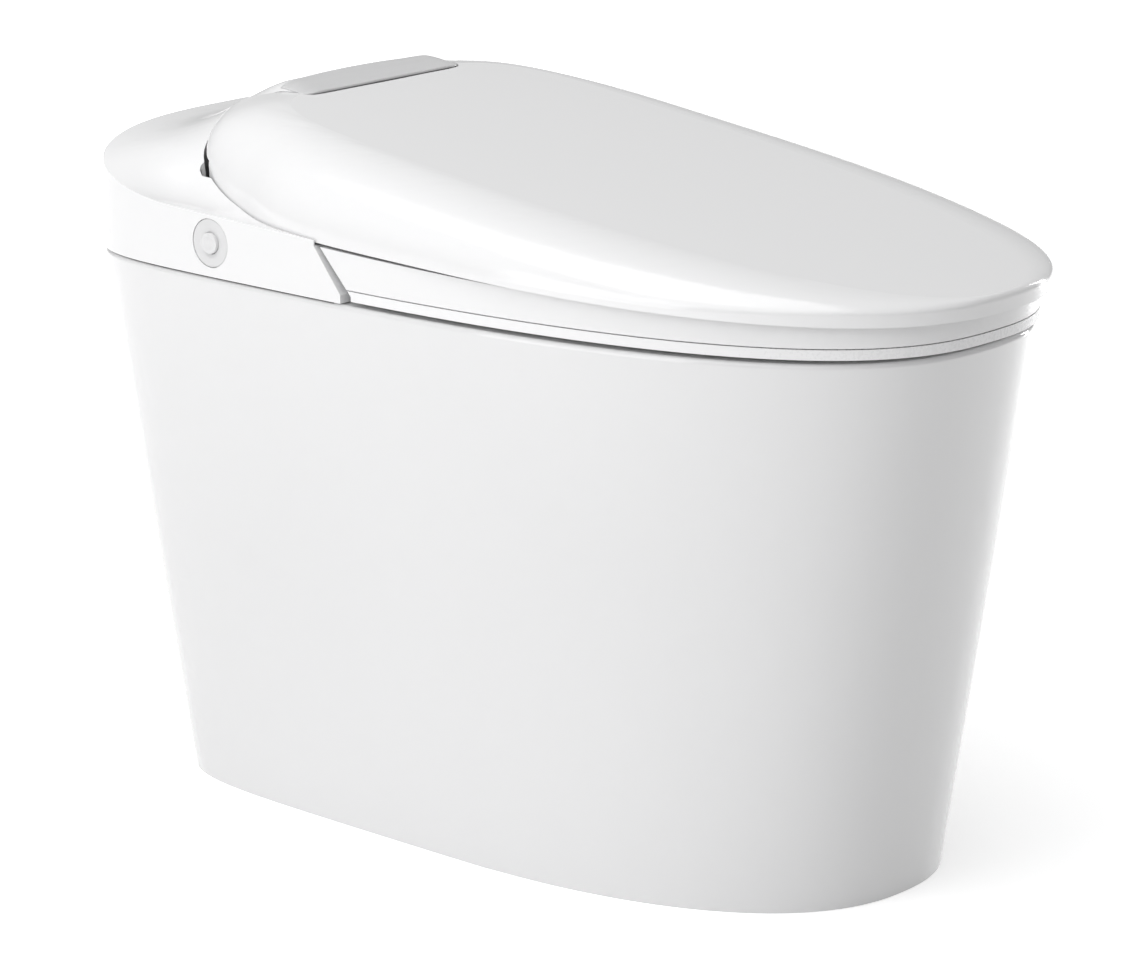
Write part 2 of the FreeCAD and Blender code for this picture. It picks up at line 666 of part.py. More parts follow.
# ---------------------------------------------------------------- base plate, gasket, fixings
gasket = prism(rim(1.5), rim_height, cover_low).cut(prism(rim(13), rim_height - 1, cover_low + 1))
keep("deck_gasket", gasket.common(box(-300, 300, 12, 300, 300, 500)))

window_in, window_out, window_front, window_back = 79.0, 168.0, 97.0, 216.0
base = prism(rim(cover_wall + 0.6), cover_low, base_top).common(housing_front(cover_wall + 2))
for s in both_sides(box(window_in, window_out, window_front, window_back, 300, 500)):
    base = base.cut(s)
for x, y in cover_screw_at:
    for s in both_sides(cylinder(screw_r + 0.3, (x, y, 300), (0, 0, 1), 200)):
        base = base.cut(s)
    for s in both_sides(cylinder(head_r + 0.3, (x, y, 300), (0, 0, 1), cover_low + 2.1 - 300)):
        base = base.cut(s)
for s in both_sides(cylinder(base_bolt_r + 0.3, (base_bolt_x, base_bolt_y, 300), (0, 0, 1), 200)):
    base = base.cut(s)
tower_in, tower_out, tower_r = 92.0, 108.0, 14.0
tower = side_profile([(66, base_top - 1), (90, base_top - 1), (hinge_y + 12, hinge_z - 7),
                      (hinge_y - 12, hinge_z + 7)], tower_in, tower_out)
tower = tower.fuse(cylinder(tower_r, (tower_in, hinge_y, hinge_z), (1, 0, 0), tower_out - tower_in))
tower = tower.cut(cylinder(pin_r + run_gap, (tower_in - 1, hinge_y, hinge_z), (1, 0, 0),
                           tower_out - tower_in + 2))
foot_in, foot_out = 63.0, 68.0
damper_foot = side_profile([(86, base_top - 1), (104, base_top - 1), (hinge_y + 8, hinge_z - 9),
                            (hinge_y - 12, hinge_z - 5)], foot_in, foot_out)
damper_r = 11.0
damper_foot = damper_foot.fuse(cylinder(damper_r + 3, (foot_in, hinge_y, hinge_z), (1, 0, 0),
                                        foot_out - foot_in))
damper_foot = damper_foot.cut(cylinder(damper_r + run_gap, (foot_in - 1, hinge_y, hinge_z), (1, 0, 0),
                                       foot_out - foot_in + 2))
for s in both_sides(tower) + both_sides(damper_foot):
    base = base.fuse(s)
for x, r in ((inlet_x, inlet_r), (-inlet_x, gland_r)):
    plate = box(x - 18, x + 18, 272, 276, base_top - 1, inlet_z + 16)
    base = base.fuse(plate).cut(cylinder(r + part_gap, (x, 260, inlet_z), (0, 1, 0), 30))
hose_through = [(70.0, 200.0, 6.0), (-28.0, 190.0, 4.0)]
for x, y, r in hose_through:
    base = base.cut(cylinder(r, (x, y, cover_low - 1), (0, 0, 1), base_thick + 2))
keep("housing_base", base)

pins, dampers = [], []
pin = cylinder(pin_r, (foot_out + 0.8, hinge_y, hinge_z), (1, 0, 0), lug_outer + 1 - foot_out - 0.8)
pin = pin.fuse(cylinder(pin_r + 2.5, (lug_outer + 0.6, hinge_y, hinge_z), (1, 0, 0), 2))
keep("hinge_pins", both_sides(pin))
damper = cylinder(damper_r, (50, hinge_y, hinge_z), (1, 0, 0), foot_out + 0.5 - 50)
damper = damper.fuse(cylinder(damper_r + 2, (foot_in - 3.2, hinge_y, hinge_z), (1, 0, 0), 3))
keep("hinge_dampers", both_sides(damper))

bolt = cylinder(base_bolt_r, (base_bolt_x, base_bolt_y, rim_height - deck_thick - 14), (0, 0, 1),
                base_top + 1 - rim_height + deck_thick + 14)
bolt = bolt.fuse(cylinder(base_bolt_r + 4, (base_bolt_x, base_bolt_y, base_top), (0, 0, 1), 5))
keep("base_bolts", both_sides(bolt))
keep("bolt_bushes", both_sides(tube(bush_r, base_bolt_r + 0.1, (base_bolt_x, base_bolt_y,
                                    rim_height - deck_thick), (0, 0, 1), deck_thick)))
nut_corners = [(base_bolt_x + 9 * math.cos(math.pi / 3 * k), base_bolt_y + 9 * math.sin(math.pi / 3 * k))
               for k in range(7)]
nut_low = rim_height - deck_thick - 9
nut = Part.Face(Part.makePolygon([V(x, y, nut_low) for x, y in nut_corners])).extrude(V(0, 0, 9))
keep("base_nuts", both_sides(nut.cut(cylinder(base_bolt_r + 0.05, (base_bolt_x, base_bolt_y, nut_low - 1),
                                              (0, 0, 1), 12))))

inlet_bore, inlet_thread = 6.5, 13.0
inlet = tube(inlet_r - 0.3, inlet_bore, (inlet_x, 262, inlet_z), (0, 1, 0), rim_rear + 12 - inlet_thread - 262)
inlet = inlet.fuse(tube(inlet_r, inlet_bore, (inlet_x, rim_rear + 12 - inlet_thread, inlet_z), (0, 1, 0),
                        inlet_thread))
inlet = inlet.fuse(tube(inlet_r + 5, inlet_r - 1, (inlet_x, 276, inlet_z), (0, 1, 0), 5))
keep("water_inlet", inlet)
keep("inlet_filter", tube(inlet_bore - 0.1, 5.4, (inlet_x, 268, inlet_z), (0, 1, 0), 22))
gland = tube(gland_r, cable_r, (-inlet_x, 266, inlet_z), (0, 1, 0), rim_rear + 8 - 266)
gland = gland.fuse(tube(gland_r + 4, gland_r - 1, (-inlet_x, 276, inlet_z), (0, 1, 0), 4))
keep("mains_gland", gland)

# ---------------------------------------------------------------- side dial and flush button
dial_face = -rim_half
ring_bore = button_r + 0.4
dial_thick = cover_wall - 0.1
dial_ring = tube(dial_r, ring_bore, (dial_face, dial_y, dial_z), (1, 0, 0), dial_thick)
sleeve_r, sleeve_end = 9.5, dial_face + 12
dial_ring = dial_ring.fuse(tube(sleeve_r, ring_bore, (dial_face + 1, dial_y, dial_z), (1, 0, 0), 11))
keep("dial_ring", dial_ring)
cup_x0, cup_x1 = dial_face + 6, dial_face + 14.5
stem_r = 4.0
cup = cylinder(sleeve_r + 3, (cup_x0, dial_y, dial_z), (1, 0, 0), cup_x1 - cup_x0)
cup = cup.fuse(box(cup_x0, cup_x1, dial_y - 9, dial_y + 9, base_top, dial_z - 6))
cup = cup.cut(cylinder(sleeve_r + run_gap, (cup_x0 - 1, dial_y, dial_z), (1, 0, 0), sleeve_end + 0.4 - cup_x0 + 1))
cup = cup.cut(cylinder(stem_r + run_gap, (cup_x0, dial_y, dial_z), (1, 0, 0), 20))
keep("dial_mount", cup)
button = cylinder(button_r, (dial_face - 1.8, dial_y, dial_z), (1, 0, 0), 9.5)
button = button.fuse(cylinder(stem_r, (dial_face + 7, dial_y, dial_z), (1, 0, 0), 8.5))
keep("flush_button", button)
board_x = cup_x1 + 4.8
encoder = box(board_x, board_x + 1.6, dial_y - 13, dial_y + 13, base_top, dial_z + 8)
encoder = encoder.fuse(box(board_x - 0.6, board_x + 0.5, dial_y - 3, dial_y + 3, dial_z - 3, dial_z + 3))
keep("dial_board", encoder)

# ---------------------------------------------------------------- nozzles
nozzle_slope = 5.0
nozzle_front_y, nozzle_front_z = -8.0, 411.5
wand_x, wand_r, wand_bore = 12.0, 5.5, 2.2
wand_length, stroke = 166.0, 100.0
tooth_module, pinion_teeth = 0.75, 12
pitch = math.pi * tooth_module
pinion_r = tooth_module * pinion_teeth / 2
pinion_at, rack_line = 60.0, 7.0
pinion_z = rack_line + pinion_r


def place_nozzle(shape):
    shape = shape.copy()
    shape.rotate(V(0, 0, 0), V(1, 0, 0), nozzle_slope)
    shape.translate(V(0, nozzle_front_y, nozzle_front_z))
    return shape


def wand(x):
    body = cylinder(wand_r, (x, 4, 0), (0, 1, 0), wand_length - 4)
    body = body.fuse(Part.makeCone(wand_r - 1.5, wand_r, 4, V(x, 0, 0), V(0, 1, 0)))
    rack_start = pinion_at - 6
    bar = box(x - 2, x + 2, rack_start, wand_length, 3, rack_line - 0.8)
    body = body.fuse(bar)
    count = int((wand_length - rack_start) / pitch) - 1
    first = math.ceil((rack_start + 1.5 - pinion_at) / pitch - 0.5)
    for k in range(first, first + count):
        y = pinion_at + (k + 0.5) * pitch
        tooth = side_profile([(y - 0.65, rack_line - 0.9), (y - 0.3, rack_line + 0.7), (y + 0.3, rack_line + 0.7),
                              (y + 0.65, rack_line - 0.9)], x - 2, x + 2)
        body = body.fuse(tooth)
    body = body.cut(cylinder(wand_bore, (x, 8, 0), (0, 1, 0), wand_length))
    for k in range(3):
        body = body.cut(cylinder(0.7, (x, 10 + 3 * k, 0), (0, 0, 1), 10))
    return body


def pinion(x):
    gear = cylinder(pinion_r - 0.95, (x - 2, pinion_at, pinion_z), (1, 0, 0), 4)
    for k in range(pinion_teeth):
        low = pinion_z - pinion_r
        tooth = side_profile([(pinion_at - 0.7, low + 1.4), (pinion_at - 0.3, low - 0.7),
                              (pinion_at + 0.3, low - 0.7), (pinion_at + 0.7, low + 1.4)], x - 2, x + 2)
        tooth.rotate(V(x, pinion_at, pinion_z), V(1, 0, 0), 360 / pinion_teeth * k)
        gear = gear.fuse(tooth)
    sign = 1 if x > 0 else -1
    gear = gear.fuse(cylinder(1.2, (x + sign * 1.5, pinion_at, pinion_z), (sign, 0, 0), 9))
    return gear


keep("rear_nozzle", place_nozzle(wand(-wand_x)))
keep("front_nozzle", place_nozzle(wand(wand_x)))
keep("rear_pinion", place_nozzle(pinion(-wand_x)))
keep("front_pinion", place_nozzle(pinion(wand_x)))
cradle_front, cradle_back, cradle_low, cradle_top = 16.0, 150.0, -7.5, 5.0
cradle = box(-wand_x - 9, wand_x + 9, cradle_front, cradle_back, cradle_low, cradle_top)
motor_x0, motor_length, motor_r = wand_x + 9.5, 18.0, 6.8
for x in (-wand_x, wand_x):
    cradle = cradle.cut(cylinder(wand_r + run_gap, (x, cradle_front - 1, 0), (0, 1, 0), 200))
    cradle = cradle.cut(box(x - 2.6, x + 2.6, cradle_front - 1, cradle_back + 1, 2, cradle_top + 1))
for s in both_sides(box(wand_x + 4.5, wand_x + 9, pinion_at - 9, pinion_at + 9, cradle_top - 1,
                        pinion_z + 3)):
    cradle = cradle.fuse(s)
for s in both_sides(cylinder(1.2 + run_gap, (wand_x, pinion_at, pinion_z), (1, 0, 0), 20)):
    cradle = cradle.cut(s)
cradle = place_nozzle(cradle)
low_z = nozzle_front_z + cradle_low
for y in (28.0, 118.0):
    lift = math.tan(math.radians(nozzle_slope)) * (y - nozzle_front_y)
    stand = box(-wand_x - 9, wand_x + 9, y - 6, y + 6, base_top, low_z + lift + 1)
    cradle = cradle.fuse(stand)
keep("nozzle_cradle", cradle)
motor = cylinder(motor_r, (motor_x0, pinion_at, pinion_z), (1, 0, 0), motor_length)
motor = motor.fuse(box(motor_x0, motor_x0 + 1.5, pinion_at - 9, pinion_at + 9, pinion_z - 4, pinion_z + 4))
motor = motor.cut(cylinder(1.6, (motor_x0 - 1, pinion_at, pinion_z), (1, 0, 0), 4))
keep("nozzle_motors", both_sides(place_nozzle(motor)))

# ---------------------------------------------------------------- air ducts, fans, flap
duct_in, duct_out, duct_high = 43.0, 61.0, 14.0
duct_front, duct_turn = 13.0, 224.0
fan_in, fan_out, fan_y0, fan_y1, fan_high = 84.0, 140.0, 222.0, 262.0, 28.0
duct_wall = 1.5


def duct():
    """L-shaped duct from the front mouth to the fan at the back, open at both ends."""
    def run(g):
        z0, z1 = base_top + 0.05 + g, base_top + duct_high - g
        first = box(duct_in + g, duct_out - g, duct_front - (5 if g else 0), duct_turn + 20 - g, z0, z1)
        second = box(duct_in + g, fan_in - 0.2 + (5 if g else 0), duct_turn + g, duct_turn + 20 - g, z0, z1)
        return first.fuse(second)
    return run(0).cut(run(duct_wall))


keep("odour_duct", duct())
keep("dryer_duct", mirrored(duct()))
fan_x, fan_y = (fan_in + fan_out) / 2, (fan_y0 + fan_y1) / 2
fan_room, rotor_out = 18.2, 16.8


def fan_housing():
    shell = box(fan_in, fan_out, fan_y0, fan_y1, base_top, base_top + fan_high)
    shell = shell.cut(cylinder(fan_room, (fan_x, fan_y, base_top + 3), (0, 0, 1), fan_high - 6))
    shell = shell.cut(box(fan_in - 1, fan_x, duct_turn + 2, duct_turn + 12, base_top + 4, base_top + 12))
    shell = shell.cut(cylinder(9, (fan_x, fan_y, base_top + 10), (0, 0, 1), 30))
    return shell.cut(cylinder(2 + run_gap, (fan_x, fan_y, base_top - 1), (0, 0, 1), 10))


def fan_rotor():
    hub = cylinder(5, (fan_x, fan_y, base_top + 5), (0, 0, 1), fan_high - 10)
    hub = hub.fuse(cylinder(2, (fan_x, fan_y, base_top + 0.5), (0, 0, 1), 6))
    hub = hub.fuse(cylinder(rotor_out, (fan_x, fan_y, base_top + 5), (0, 0, 1), 1.2))
    for k in range(12):
        blade = box(fan_x + 9.5, fan_x + rotor_out, fan_y - 0.5, fan_y + 0.5, base_top + 6, base_top + fan_high - 5)
        blade.rotate(V(fan_x + 9.5, fan_y, 0), V(0, 0, 1), 35)
        blade.rotate(V(fan_x, fan_y, 0), V(0, 0, 1), 30 * k)
        hub = hub.fuse(blade.common(cylinder(rotor_out, (fan_x, fan_y, base_top), (0, 0, 1), 60)))
    return hub


keep("odour_fan_case", fan_housing())
keep("odour_fan", fan_rotor())
keep("dryer_case", mirrored(fan_housing()))
keep("dryer_fan", mirrored(fan_rotor()))
cartridge = box(fan_in, fan_out, fan_y0, fan_y1, base_top + fan_high, base_top + fan_high + 14)
for k in range(5):
    cartridge = cartridge.cut(box(fan_in + 5 + 10 * k, fan_in + 9 + 10 * k, fan_y0 + 4, fan_y1 - 4,
                                  base_top + fan_high - 1, base_top + fan_high + 15))
keep("odour_filter", cartridge)
coil_low = base_top + duct_wall + 0.15
coil = box(-duct_out + duct_wall + 0.1, -duct_in - duct_wall - 0.1, 150, 200, coil_low, coil_low + 10.6)
for k in range(7):
    coil = coil.cut(box(-duct_out, -duct_in, 153 + 7 * k, 157 + 7 * k, coil_low + 1.5, coil_low + 9.5))
for k in range(3):
    coil = coil.cut(box(-duct_out + 2.5 + 5 * k, -duct_out + 5.5 + 5 * k, 140, 210, coil_low + 2.5, coil_low + 8.5))
keep("dryer_heater", coil)
flap_y, flap_thick = 10.0, 1.6
flap_top = base_top + duct_high - 1.5
flap_pin_r = 1.2
flap = box(-duct_out + 0.5, -duct_in - 0.5, flap_y - flap_thick, flap_y, base_top + 0.4, flap_top)
flap = flap.fuse(cylinder(flap_pin_r, (-duct_out - 1.8, flap_y - flap_thick / 2, flap_top), (1, 0, 0),
                          duct_out - duct_in + 3.6))
keep("dryer_flap", flap)
bracket = box(-duct_out - 1.9, -duct_out - 0.1, flap_y - 4, duct_front + 8, base_top + 0.05, flap_top + 3)
bracket = bracket.fuse(box(-duct_in + 0.1, -duct_in + 1.9, flap_y - 4, duct_front + 8, base_top + 0.05,
                           flap_top + 3))
bracket = bracket.cut(cylinder(flap_pin_r + run_gap, (-duct_out - 5, flap_y - flap_thick / 2, flap_top), (1, 0, 0),
                               40))
keep("flap_bracket", bracket.Solids)

# ---------------------------------------------------------------- electronics and water parts
case_half, case_y0, case_y1, case_high = 38.0, 208.0, 262.0, 34.0
case = box(-case_half, case_half, case_y0, case_y1, base_top, base_top + case_high)
case = case.cut(box(-case_half + 2, case_half - 2, case_y0 + 2, case_y1 - 2, base_top + 2,
                    base_top + case_high + 1))
for x in (-case_half + 6, case_half - 6):
    for y in (case_y0 + 6, case_y1 - 6):
        case = case.fuse(cylinder(3, (x, y, base_top + 1), (0, 0, 1), 9))
keep("board_case", case)
keep("case_cover", box(-case_half, case_half, case_y0, case_y1, base_top + case_high,
                       base_top + case_high + 2))
board_z = base_top + 10
board = box(-case_half + 2.5, case_half - 2.5, case_y0 + 2.5, case_y1 - 2.5, board_z, board_z + 1.6)
for x, y, w, d, h in ((-24, 220, 14, 12, 8), (0, 222, 18, 10, 12), (22, 220, 10, 10, 10), (-20, 246, 16, 14, 4),
                      (8, 246, 20, 12, 6)):
    board = board.fuse(box(x - w / 2, x + w / 2, y - d / 2, y + d / 2, board_z + 1, board_z + 1.6 + h))
keep("control_board", board)

tray_top = bay_floor + 3.0
tray = box(-bay_half + 4, bay_half - 4, bay_front + 4, bay_back - 4, bay_floor, tray_top)
keep("service_tray", tray)

heater_x, heater_y, heater_high, port_high = -121.0, (80.0, 112.0), 58.0, 10.0
heater_box = box(-150, -92, 64, 128, tray_top, tray_top + heater_high)
heater_box = heater_box.makeFillet(6, [e for e in heater_box.Edges if e.BoundBox.ZLength > heater_high - 2])
for y in heater_y:
    heater_box = heater_box.fuse(cylinder(6, (heater_x, y, tray_top + heater_high - 1), (0, 0, 1), port_high + 1))
port_z = tray_top + heater_high + port_high + 0.3
keep("water_heater", heater_box)

pump_y, pump_z, pump_room = 92.0, tray_top + 29.0, 22.0
pump = cylinder(27, (-60, pump_y, pump_z), (1, 0, 0), 36)
pump = pump.fuse(cylinder(19, (-24, pump_y, pump_z), (1, 0, 0), 50))
pump = pump.fuse(box(-56, 22, pump_y - 18, pump_y + 18, tray_top, pump_z - 16))
pump = pump.fuse(cylinder(8, (-46, pump_y + 12, pump_z), (0, 0, 1), 44))
pump = pump.cut(cylinder(pump_room, (-56, pump_y, pump_z), (1, 0, 0), 24))
pump = pump.cut(cylinder(5, (-46, pump_y + 12, pump_z + 18), (0, 0, 1), 60))
pump = pump.cut(cylinder(2.5 + run_gap, (-40, pump_y, pump_z), (1, 0, 0), 24))
keep("flush_pump", pump)
impeller = cylinder(6, (-53, pump_y, pump_z), (1, 0, 0), 16)
impeller = impeller.fuse(cylinder(20.5, (-37.5, pump_y, pump_z), (1, 0, 0), 1.5))
impeller = impeller.fuse(cylinder(2.5, (-38, pump_y, pump_z), (1, 0, 0), 20))
for k in range(6):
    vane = box(-52, -37, pump_y + 4, pump_y + 20, pump_z - 0.8, pump_z + 0.8)
    vane.rotate(V(0, pump_y, pump_z), V(1, 0, 0), 60 * k)
    impeller = impeller.fuse(vane)
keep("pump_impeller", impeller)

valve = cylinder(18, (66, 92, tray_top), (0, 0, 1), 40).fuse(cylinder(11, (66, 92, tray_top + 39), (0, 0, 1), 24))
valve = valve.fuse(cylinder(8, (66, 92, tray_top + 22), (0, 1, 0), 30))
keep("flush_valve", valve)
supply = box(98, 152, 66, 170, tray_top, tray_top + 42)
for k in range(9):
    supply = supply.cut(box(104, 146, 74 + 10 * k, 79 + 10 * k, tray_top + 38, tray_top + 43))
keep("power_supply", supply)
air = cylinder(16, (-10, 176, tray_top + 17), (1, 0, 0), 58)
air = air.fuse(box(-6, 44, 164, 188, tray_top, tray_top + 8)).fuse(cylinder(4, (50, 176, tray_top + 20), (0, 0, 1),
                                                                            20))
keep("air_pump", air)
wash_valve = box(-146, -106, 176, 212, tray_top, tray_top + 24)
wash_valve = wash_valve.fuse(cylinder(11, (-126, 194, tray_top + 23), (0, 0, 1), 28))
wash_valve = wash_valve.fuse(cylinder(6, (-126, 176, tray_top + 12), (0, -1, 0), 14))
keep("wash_valve", wash_valve)
divider_y = 178.0
divider = cylinder(11, (0, divider_y, base_top), (0, 0, 1), 16).fuse(cylinder(8, (0, divider_y, base_top + 15),
                                                                              (0, 0, 1), 8))
for x in (-wand_x, wand_x):
    divider = divider.fuse(cylinder(3, (x / 2, divider_y, base_top + 8), (0, -1, 0), 16))
keep("wash_divider", divider)


def hose(points, r):
    path = Part.BSplineCurve()
    path.interpolate([V(*p) for p in points])
    wire = Part.Wire([path.toShape()])
    return sweep(wire, r)


(valve_x, valve_y), (divide_x, divide_y) = hose_through[0][:2], hose_through[1][:2]
keep("inlet_hose", hose([(inlet_x, 261.7, inlet_z), (inlet_x, 250, inlet_z), (inlet_x + 4, 222, inlet_z - 3),
                         (valve_x, valve_y + 3, base_top + 8), (valve_x, valve_y, base_top - 4),
                         (valve_x - 1, 168, 352), (66, 136, tray_top + 24), (66, 122.4, tray_top + 22)], 5.0))
keep("heater_hose", hose([(-126, 161.7, tray_top + 12), (-126, 150, tray_top + 18), (-125, 139, tray_top + 45),
                          (-123, 128, port_z - 1), (heater_x, heater_y[1] + 6, port_z + 5),
                          (heater_x, heater_y[1] + 1, port_z + 4), (heater_x, heater_y[1], port_z)], 3.5))
keep("wash_hose", hose([(heater_x, heater_y[0], port_z), (heater_x + 1, heater_y[0] + 1, port_z + 4),
                        (heater_x + 12, heater_y[0] + 14, port_z + 6), (-70, 150, port_z + 5),
                        (-38, 180, port_z + 6), (divide_x, divide_y, base_top - 2),
                        (divide_x + 5, divide_y - 1, base_top + 7), (-11.8, divider_y + 5, base_top + 8)], 3.0))

for name, shape in nodes.items():
    shape.exportStep("parts/%s.step" % name)
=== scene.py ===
import json
import math

import bmesh
import bpy
from bpy.props import FloatProperty, FloatVectorProperty, PointerProperty
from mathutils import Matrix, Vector


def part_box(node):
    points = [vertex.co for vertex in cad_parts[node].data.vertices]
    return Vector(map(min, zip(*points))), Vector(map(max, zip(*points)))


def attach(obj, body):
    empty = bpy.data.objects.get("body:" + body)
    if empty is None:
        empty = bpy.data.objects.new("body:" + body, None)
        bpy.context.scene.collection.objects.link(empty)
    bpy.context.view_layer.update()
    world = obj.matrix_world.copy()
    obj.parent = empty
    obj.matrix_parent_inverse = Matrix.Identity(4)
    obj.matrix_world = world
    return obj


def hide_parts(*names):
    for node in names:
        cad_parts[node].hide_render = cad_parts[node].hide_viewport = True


bl_info = {
    "name": "Smart toilet dressing",
    "version": (1, 0, 0),
    "blender": (4, 5, 0),
    "location": "3D View > Sidebar > Toilet",
    "description": "Gives the packed toilet its finishes, its fine shapes and its studio",
    "category": "Object",
}

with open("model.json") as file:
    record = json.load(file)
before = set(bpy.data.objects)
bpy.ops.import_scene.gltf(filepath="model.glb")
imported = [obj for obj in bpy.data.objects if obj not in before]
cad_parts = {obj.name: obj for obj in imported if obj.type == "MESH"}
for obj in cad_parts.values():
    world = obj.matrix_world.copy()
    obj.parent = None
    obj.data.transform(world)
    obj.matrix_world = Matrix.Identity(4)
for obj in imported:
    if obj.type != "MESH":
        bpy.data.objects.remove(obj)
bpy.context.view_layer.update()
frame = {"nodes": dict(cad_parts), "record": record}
NODES = frame["nodes"]
SLOT_OF = {part["node"]: part["material_slot"] for part in frame["record"]["subparts"]}

JOIN = 1e-6                            # points closer than this, in metres, are one point
FLAT = math.radians(0.6)               # faces that meet at less than this are one face


# ------------------------------------------------------------------ settings
class ToiletFinishes(bpy.types.PropertyGroup):
    china: FloatVectorProperty(name="China", description="Colour of the glazed pan", subtype="COLOR",
                               size=3, min=0, max=1, default=(0.80, 0.80, 0.805))
    shell: FloatVectorProperty(name="Shell plastic", description="Colour of lid, seat and housing",
                               subtype="COLOR", size=3, min=0, max=1, default=(0.86, 0.86, 0.865))
    plate: FloatVectorProperty(name="Plate", description="Colour of the satin accent plate", subtype="COLOR",
                               size=3, min=0, max=1, default=(0.70, 0.70, 0.705))
    dial: FloatVectorProperty(name="Dial", description="Colour of the side dial", subtype="COLOR",
                              size=3, min=0, max=1, default=(0.72, 0.72, 0.725))
    glaze_rough: FloatProperty(name="Glaze roughness", description="Roughness of the glaze",
                               min=0, max=1, default=0.10)
    shell_rough: FloatProperty(name="Shell roughness", description="Roughness of the polished plastic",
                               min=0, max=1, default=0.16)


class ToiletSizes(bpy.types.PropertyGroup):
    dial_dish: FloatProperty(name="Dial dish", description="How far the dial's face is hollowed",
                             unit="LENGTH", min=0, default=0.0004)
    dial_chamfer: FloatProperty(name="Dial chamfer", description="Sloping edge round the dial", unit="LENGTH",
                                min=0, default=0.0006)
    button_round: FloatProperty(name="Button rounding", description="Rounding of the button's edge",
                                unit="LENGTH", min=0, default=0.0007)
    liner_inset: FloatProperty(name="Liner inset", description="How far the lid's inner panel is drawn in",
                               unit="LENGTH", min=0, default=0.012)
    plate_bevel: FloatProperty(name="Plate edge", description="Polished edge round the accent plate",
                               unit="LENGTH", min=0, default=0.0005)


class ToiletStage(bpy.types.PropertyGroup):
    azimuth: FloatProperty(name="Camera turn", description="Camera's turn round the toilet from its front",
                           subtype="ANGLE", default=math.radians(-48.484))
    elevation: FloatProperty(name="Camera rise", description="Camera's angle above the horizon",
                             subtype="ANGLE", default=math.radians(15.465))
    distance: FloatProperty(name="Camera distance", description="From the camera to its target",
                            unit="LENGTH", default=3.294)
    lens: FloatProperty(name="Lens", description="Focal length", unit="CAMERA", default=143.53)
    target: FloatVectorProperty(name="Target", description="Point the camera looks at", subtype="XYZ",
                                size=3, default=(0.0, -0.030, 0.240))
    sky: FloatProperty(name="Soft light", description="Strength of the even light from all round",
                       min=0, default=0.39)
    key: FloatProperty(name="Key lamp", description="Power of the large lamp above on the left",
                       unit="POWER", min=0, default=15.0)
    top: FloatProperty(name="Top lamp", description="Power of the large lamp overhead",
                       unit="POWER", min=0, default=24.0)
    side: FloatProperty(name="Side lamp", description="Power of the large lamp on the far left",
                        unit="POWER", min=0, default=20.0)
    strip: FloatProperty(name="Strip lamp", description="Power of the tall narrow lamp on the far right",
                         unit="POWER", min=0, default=13.0)
    floor_glow: FloatProperty(name="Floor glow", description="White added to the near floor where it is seen",
                              min=0, default=0.42)
    near: FloatProperty(name="Near floor", description="Distance at which the added white starts to rise",
                        unit="LENGTH", min=0, default=0.5)
    far: FloatProperty(name="Far floor", description="Distance at which the floor is as white as the backdrop",
                       unit="LENGTH", min=0, default=1.6)


# ------------------------------------------------------------------ shader maths
class Signal:
    """A shader socket that takes part in Python arithmetic."""

    def __init__(self, finish, socket):
        self.finish, self.socket = finish, socket

    def maths(self, operation, a, b):
        return self.finish.maths(operation, a, b)

    def __add__(self, other):
        return self.maths("ADD", self, other)

    __radd__ = __add__

    def __sub__(self, other):
        return self.maths("SUBTRACT", self, other)

    def __rsub__(self, other):
        return self.maths("SUBTRACT", other, self)

    def __mul__(self, other):
        return self.maths("MULTIPLY", self, other)

    __rmul__ = __mul__

    def __pow__(self, other):
        return self.maths("POWER", self, other)

    def over(self, level):
        return self.maths("GREATER_THAN", self, level)


